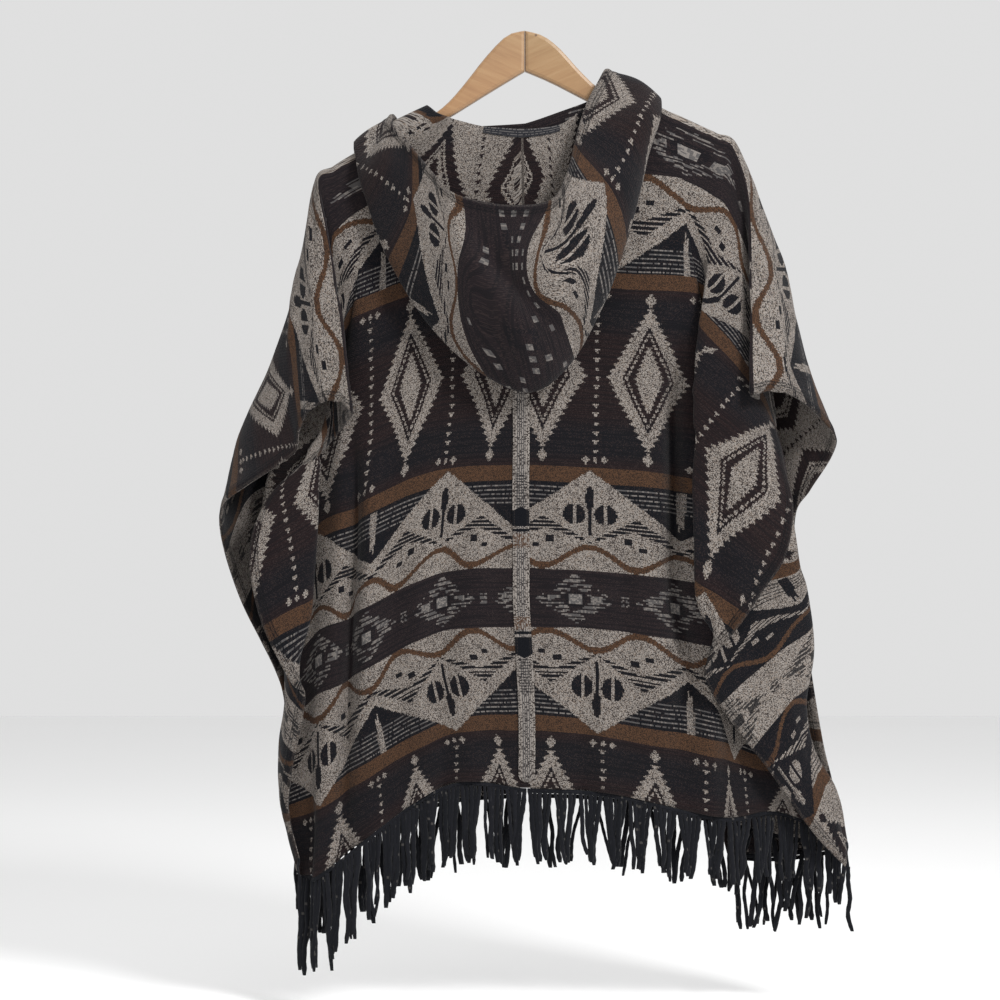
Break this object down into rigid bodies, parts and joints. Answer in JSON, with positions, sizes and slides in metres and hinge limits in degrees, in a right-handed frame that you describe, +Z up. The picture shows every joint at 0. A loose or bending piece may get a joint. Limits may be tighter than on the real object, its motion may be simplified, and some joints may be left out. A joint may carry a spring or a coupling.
{
  "type": "hooded cape on a wooden hanger",
  "caption": "Hooded wool cape with fringed hems and an open front, hanging on a flat wooden hanger, hood turned down on the back.",
  "frame": {"origin": "top of the hanger board, where its hook would hold it", "axes": "+Z up, the cape's back side faces -Y, +X to the right seen from behind the garment"},
  "size_m": [0.6312, 0.155, 0.9453],
  "materials": {
    "jacquard_wool": "matte napped jacquard",
    "tape": "matte woven tape",
    "strip_wool": "matte napped wool",
    "fringe_yarn": "matte twisted yarn",
    "beech": "satin clear lacquer"
  },
  "bodies": {
    "root": {"panel_right": "jacquard_wool", "panel_left": "jacquard_wool", "hood": "jacquard_wool", "neck_tape": "tape", "back_strip": "strip_wool", "fringe_back_right": "fringe_yarn", "fringe_back_left": "fringe_yarn", "fringe_front_right": "fringe_yarn", "fringe_front_left": "fringe_yarn", "hanger_right": "beech", "hanger_left": "beech"}
  },
  "joints": []
}
